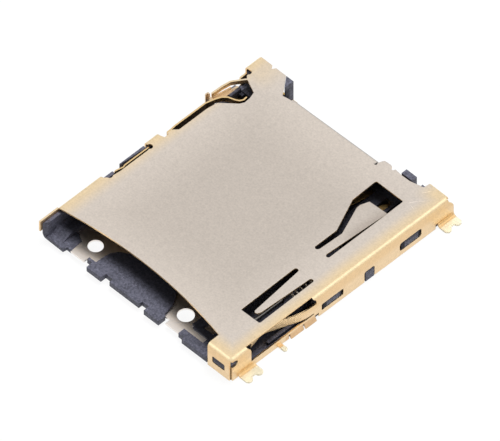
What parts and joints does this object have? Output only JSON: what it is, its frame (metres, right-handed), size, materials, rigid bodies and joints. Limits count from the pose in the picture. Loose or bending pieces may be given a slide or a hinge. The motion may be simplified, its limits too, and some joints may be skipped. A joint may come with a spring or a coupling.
{
  "type": "memory card socket",
  "caption": "Push-push memory card socket with a folded metal shell, plastic body, sprung slider, cam pin and switches, for surface mounting.",
  "frame": {"origin": "middle of the body's width and depth, in the plane of the board that the socket is soldered to", "axes": "+Y the way the card goes in, +Z away from the board, +X towards the eject mechanism"},
  "size_m": [0.0311, 0.0338, 0.0034],
  "materials": {
    "resin": "moulded, fine matt",
    "slider_resin": "moulded, smooth",
    "shell_plated": "thin gold flash over nickel, satin",
    "floor_nickel": "nickel plated, satin",
    "contact_copper": "gold plated copper alloy",
    "spring_steel": "drawn wire",
    "wire_steel": "drawn wire",
    "arm_gold": "gold flash, satin",
    "terminal_gold": "gold flash, satin"
  },
  "bodies": {
    "base": {"housing": "resin", "shell": "shell_plated", "floor_plate": "floor_nickel", "contact_1": "contact_copper", "contact_2": "contact_copper", "contact_3": "contact_copper", "contact_4": "contact_copper", "contact_5": "contact_copper", "contact_6": "contact_copper", "contact_7": "contact_copper", "contact_8": "contact_copper", "contact_9": "contact_copper", "eject_spring": "spring_steel", "detect_terminal": "terminal_gold", "detect_common": "contact_copper", "protect_terminal": "terminal_gold"},
    "slider": {"slider": "slider_resin"},
    "cam_pin": {"cam_pin": "wire_steel"},
    "detect_arm": {"detect_arm": "arm_gold"},
    "protect_arm": {"protect_arm": "arm_gold"}
  },
  "joints": [
    {"name": "slider_travel", "type": "slide", "parent": "base", "child": "slider", "axis": [0, 1, 0], "range_m": [0, 0.005], "stiffness_N_per_m": 300, "springref_m": -0.005, "deforming": ["eject_spring"]},
    {"name": "cam_pin_swing", "type": "hinge", "parent": "base", "child": "cam_pin", "pos_m": [0.01147, -0.0142, 0.00283], "axis": [0, 0, -1], "range_deg": [0, 4.1]},
    {"name": "detect_flex", "type": "hinge", "parent": "base", "child": "detect_arm", "pos_m": [-0.01344, 0.002, 0.0029], "axis": [0, 0, 1], "range_deg": [0, 1.5], "stiffness_Nm_per_rad": 0.002},
    {"name": "protect_flex", "type": "hinge", "parent": "base", "child": "protect_arm", "pos_m": [-0.0135, -0.0009, 0.0026], "axis": [0, 0, -1], "range_deg": [0, 1.4], "stiffness_Nm_per_rad": 0.002}
  ],
  "couplings": [
    {"joint": "cam_pin_swing", "follows": "slider_travel", "rad_per_m": 13.92}
  ]
}
